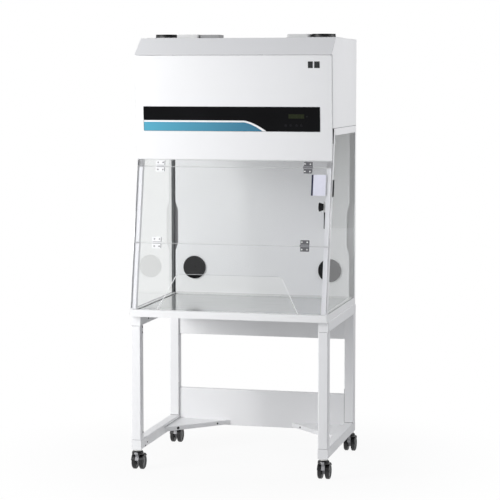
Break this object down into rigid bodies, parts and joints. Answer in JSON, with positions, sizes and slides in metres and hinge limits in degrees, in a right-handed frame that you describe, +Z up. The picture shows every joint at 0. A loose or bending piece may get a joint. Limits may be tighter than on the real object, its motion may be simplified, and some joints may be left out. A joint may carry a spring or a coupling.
{
  "type": "ductless fume hood",
  "caption": "White ductless fume hood with a folding clear sash, swing-up head door and roof fans, on a square-tube stand with twin-wheel casters.",
  "frame": {"origin": "on the floor, under the centre of the overall box", "axes": "+Z up, -Y towards the user, +X to the user's right"},
  "size_m": [1.009, 0.802, 2.175],
  "materials": {
    "stand_paint": "satin powder coat",
    "hood_paint": "satin powder coat",
    "base_paint": "satin powder coat",
    "tray_paint": "smooth epoxy",
    "clear_sheet": "clear",
    "side_glass": "clear",
    "hinge_plastic": "satin",
    "black_plastic": "matt",
    "caster_plastic": "satin",
    "wheel_tread": "matt",
    "bright_steel": "zinc plated",
    "valve_body": "satin",
    "panel_black": "gloss",
    "display_window": "gloss",
    "button_plastic": "satin",
    "filter_media": "pleated fleece",
    "filter_case": "bed of carbon grains in a thin galvanised case",
    "fan_case": "cast",
    "impeller_plastic": "matt",
    "guard_wire": "coated wire",
    "terminal_box": "satin"
  },
  "bodies": {
    "hood": {"stand_side_frame_left": "stand_paint", "stand_side_frame_right": "stand_paint", "rail_end_caps": "stand_paint", "stand_rear_panel_upper": "stand_paint", "stand_rear_panel_lower": "stand_paint", "corner_braces": "stand_paint", "caster_stems": "bright_steel", "base_frame": "base_paint", "work_tray": "tray_paint", "front_post_left": "hood_paint", "front_post_right": "hood_paint", "side_glass_left": "side_glass", "side_glass_right": "side_glass", "rear_panel": "hood_paint", "rear_baffle": "hood_paint", "port_covers": "black_plastic", "glass_clips": "black_plastic", "door_catches": "black_plastic", "chamber_front_panel": "hood_paint", "head_base_frame": "hood_paint", "sash_header": "clear_sheet", "sash_hinge_fixed_leaves": "hinge_plastic", "valve_body": "valve_body", "valve_nozzle": "black_plastic", "head_side_left": "hood_paint", "head_side_right": "hood_paint", "head_roof": "hood_paint", "door_pivots": "bright_steel", "prefilter": "filter_media", "carbon_filter": "filter_case", "fan_housings": "fan_case", "exhaust_guards": "guard_wire", "roof_terminal_box": "terminal_box"},
    "caster_fl": {"caster_body_fl": "caster_plastic"},
    "wheel_fl_outer": {"caster_wheel_fl_outer": "wheel_tread"},
    "wheel_fl_inner": {"caster_wheel_fl_inner": "wheel_tread"},
    "caster_fr": {"caster_body_fr": "caster_plastic"},
    "wheel_fr_outer": {"caster_wheel_fr_outer": "wheel_tread"},
    "wheel_fr_inner": {"caster_wheel_fr_inner": "wheel_tread"},
    "caster_rl": {"caster_body_rl": "caster_plastic"},
    "wheel_rl_outer": {"caster_wheel_rl_outer": "wheel_tread"},
    "wheel_rl_inner": {"caster_wheel_rl_inner": "wheel_tread"},
    "caster_rr": {"caster_body_rr": "caster_plastic"},
    "wheel_rr_outer": {"caster_wheel_rr_outer": "wheel_tread"},
    "wheel_rr_inner": {"caster_wheel_rr_inner": "wheel_tread"},
    "upper_flap": {"sash_upper_flap": "clear_sheet", "sash_hinge_middle_leaves": "hinge_plastic"},
    "lower_flap": {"sash_lower_flap": "clear_sheet", "sash_hinge_lower_leaves": "hinge_plastic"},
    "door": {"front_door": "hood_paint", "control_panel": "panel_black", "display_window": "display_window", "control_board": "black_plastic"},
    "button_1_key": {"button_1": "button_plastic"},
    "button_2_key": {"button_2": "button_plastic"},
    "button_3_key": {"button_3": "button_plastic"},
    "button_4_key": {"button_4": "button_plastic"},
    "impeller_left": {"fan_impeller_left": "impeller_plastic"},
    "impeller_right": {"fan_impeller_right": "impeller_plastic"},
    "valve_handle": {"valve_knob": "black_plastic"}
  },
  "joints": [
    {"name": "caster_swivel_fl", "type": "hinge", "parent": "hood", "child": "caster_fl", "pos_m": [-0.475, -0.35, 0.106], "axis": [0, 0, 1], "continuous": true},
    {"name": "wheel_roll_fl_outer", "type": "hinge", "parent": "caster_fl", "child": "wheel_fl_outer", "pos_m": [-0.475, -0.328, 0.039], "axis": [1, 0, 0], "continuous": true},
    {"name": "wheel_roll_fl_inner", "type": "hinge", "parent": "caster_fl", "child": "wheel_fl_inner", "pos_m": [-0.475, -0.328, 0.039], "axis": [1, 0, 0], "continuous": true},
    {"name": "caster_swivel_fr", "type": "hinge", "parent": "hood", "child": "caster_fr", "pos_m": [0.475, -0.35, 0.106], "axis": [0, 0, 1], "continuous": true},
    {"name": "wheel_roll_fr_outer", "type": "hinge", "parent": "caster_fr", "child": "wheel_fr_outer", "pos_m": [0.475, -0.328, 0.039], "axis": [1, 0, 0], "continuous": true},
    {"name": "wheel_roll_fr_inner", "type": "hinge", "parent": "caster_fr", "child": "wheel_fr_inner", "pos_m": [0.475, -0.328, 0.039], "axis": [1, 0, 0], "continuous": true},
    {"name": "caster_swivel_rl", "type": "hinge", "parent": "hood", "child": "caster_rl", "pos_m": [-0.475, 0.34, 0.106], "axis": [0, 0, 1], "continuous": true},
    {"name": "wheel_roll_rl_outer", "type": "hinge", "parent": "caster_rl", "child": "wheel_rl_outer", "pos_m": [-0.475, 0.362, 0.039], "axis": [1, 0, 0], "continuous": true},
    {"name": "wheel_roll_rl_inner", "type": "hinge", "parent": "caster_rl", "child": "wheel_rl_inner", "pos_m": [-0.475, 0.362, 0.039], "axis": [1, 0, 0], "continuous": true},
    {"name": "caster_swivel_rr", "type": "hinge", "parent": "hood", "child": "caster_rr", "pos_m": [0.475, 0.34, 0.106], "axis": [0, 0, 1], "continuous": true},
    {"name": "wheel_roll_rr_outer", "type": "hinge", "parent": "caster_rr", "child": "wheel_rr_outer", "pos_m": [0.475, 0.362, 0.039], "axis": [1, 0, 0], "continuous": true},
    {"name": "wheel_roll_rr_inner", "type": "hinge", "parent": "caster_rr", "child": "wheel_rr_inner", "pos_m": [0.475, 0.362, 0.039], "axis": [1, 0, 0], "continuous": true},
    {"name": "sash_upper_hinge", "type": "hinge", "parent": "hood", "child": "upper_flap", "pos_m": [0, -0.26862, 1.52253], "axis": [-1, 0, 0], "range_deg": [0, 65]},
    {"name": "sash_lower_hinge", "type": "hinge", "parent": "upper_flap", "child": "lower_flap", "pos_m": [0, -0.33931, 1.14653], "axis": [-1, 0, 0], "range_deg": [0, 172]},
    {"name": "front_door_hinge", "type": "hinge", "parent": "hood", "child": "door", "pos_m": [0, -0.292, 2.06], "axis": [-1, 0, 0], "range_deg": [0, 80]},
    {"name": "button_1_press", "type": "slide", "parent": "door", "child": "button_1_key", "axis": [0, 0.9975, 0.0703], "range_m": [0, 0.0008], "stiffness_N_per_m": 600},
    {"name": "button_2_press", "type": "slide", "parent": "door", "child": "button_2_key", "axis": [0, 0.9975, 0.0703], "range_m": [0, 0.0008], "stiffness_N_per_m": 600},
    {"name": "button_3_press", "type": "slide", "parent": "door", "child": "button_3_key", "axis": [0, 0.9975, 0.0703], "range_m": [0, 0.0008], "stiffness_N_per_m": 600},
    {"name": "button_4_press", "type": "slide", "parent": "door", "child": "button_4_key", "axis": [0, 0.9975, 0.0703], "range_m": [0, 0.0008], "stiffness_N_per_m": 600},
    {"name": "fan_spin_left", "type": "hinge", "parent": "hood", "child": "impeller_left", "pos_m": [-0.403, -0.03, 2.115], "axis": [0, 0, 1], "continuous": true},
    {"name": "fan_spin_right", "type": "hinge", "parent": "hood", "child": "impeller_right", "pos_m": [0.403, -0.03, 2.115], "axis": [0, 0, 1], "continuous": true},
    {"name": "valve_turn", "type": "hinge", "parent": "hood", "child": "valve_handle", "pos_m": [0.455, -0.27215, 1.33166], "axis": [-1, 0, 0], "range_deg": [0, 90]}
  ]
}
